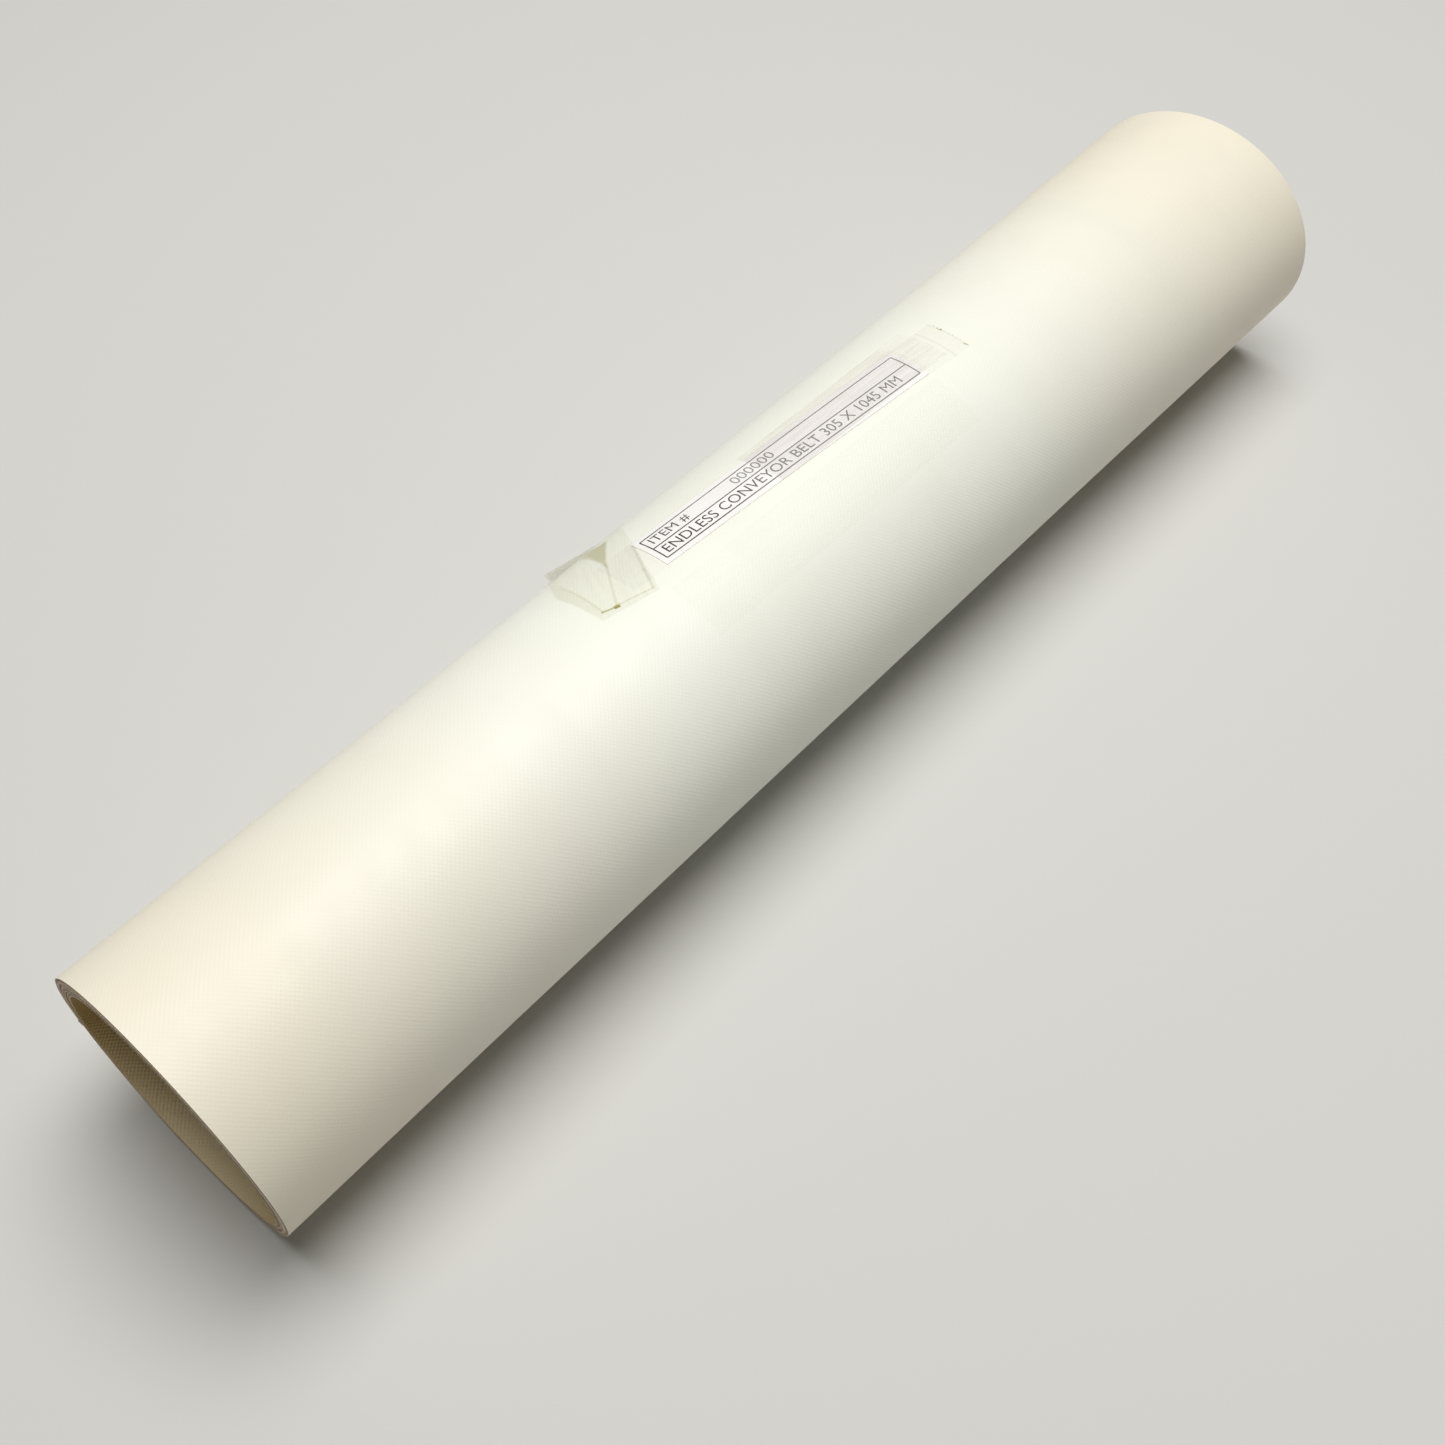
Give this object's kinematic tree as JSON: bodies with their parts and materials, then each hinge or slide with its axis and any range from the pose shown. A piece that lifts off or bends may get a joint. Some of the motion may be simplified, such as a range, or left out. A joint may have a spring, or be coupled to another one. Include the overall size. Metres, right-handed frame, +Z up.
{
  "type": "rolled conveyor belt",
  "caption": "Thin white endless conveyor belt, pressed flat and rolled into a hollow tube, taped shut, with a printed paper slip under clear tape.",
  "frame": {"origin": "centre of the bounding box's bottom, on the surface that the roll lies on", "axes": "+X along the roll, from its narrower end to its wider end; +Z up; +Y towards the side where the belt's outer fold lies"},
  "size_m": [0.3048, 0.0604, 0.0532],
  "materials": {
    "belt_cover": "satin creamy white cover with a faint weave pressed into it",
    "belt_fabric_ply": "undyed plain-woven polyester, bonded to the cover",
    "paper_slip": "uncoated printer paper",
    "clear_tape": "clear, slightly yellowed adhesive tape"
  },
  "bodies": {
    "root": {"belt_cover": "belt_cover", "belt_fabric_ply": "belt_fabric_ply", "paper_slip": "paper_slip", "slip_tape": "clear_tape", "upper_tape": "clear_tape", "front_tape": "clear_tape", "closing_tape": "clear_tape"}
  },
  "joints": []
}
